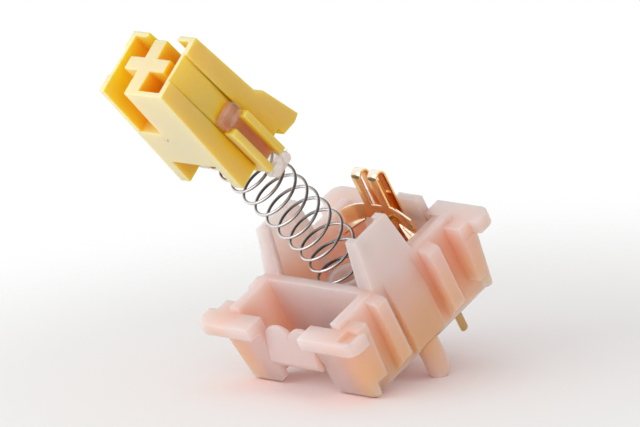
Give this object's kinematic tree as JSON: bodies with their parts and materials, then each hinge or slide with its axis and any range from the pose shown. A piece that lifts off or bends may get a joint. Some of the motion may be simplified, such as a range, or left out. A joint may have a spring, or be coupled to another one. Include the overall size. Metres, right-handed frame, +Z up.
{
  "type": "mechanical keyboard switch",
  "caption": "Opened key switch: translucent bottom housing with guide posts, latch ribs and board pegs, long coil spring, leaf contacts and the lifted stem with its keycap cross.",
  "frame": {"origin": "on the centre post's axis, in the plane of the circuit board that the feet stand on", "axes": "+Z up out of the board, the way the key comes up; +Y towards the contact side; -Y towards the light slot; +X along the row of locating pegs"},
  "size_m": [0.0156, 0.0168, 0.0323],
  "materials": {
    "pink_housing": "translucent smoky pink moulding, softly glossy",
    "yellow_stem": "self-lubricating yellow moulding, satin",
    "damper_silicone": "clear soft silicone",
    "spring_steel": "bright drawn spring wire",
    "leaf_copper": "bright copper alloy sheet",
    "plate_brass": "bright brass sheet",
    "contact_gold": "polished gold alloy"
  },
  "bodies": {
    "housing": {"bottom_housing": "pink_housing", "spring": "spring_steel", "moving_contact_leaf": "leaf_copper", "fixed_contact": "plate_brass", "fixed_contact_point": "contact_gold"},
    "stem": {"stem": "yellow_stem", "damper_east": "damper_silicone", "damper_west": "damper_silicone"},
    "contact": {"moving_contact_point": "contact_gold"}
  },
  "joints": [
    {"name": "stem_press", "type": "slide", "parent": "housing", "child": "stem", "axis": [0.0159, 0.3036, -0.9527], "range_m": [0, 0.004], "stiffness_N_per_m": 50, "deforming": ["spring"]},
    {"name": "contact_flex", "type": "slide", "parent": "housing", "child": "contact", "axis": [0, 1, 0], "range_m": [0, 0.0004], "stiffness_N_per_m": 100, "deforming": ["moving_contact_leaf"]}
  ]
}
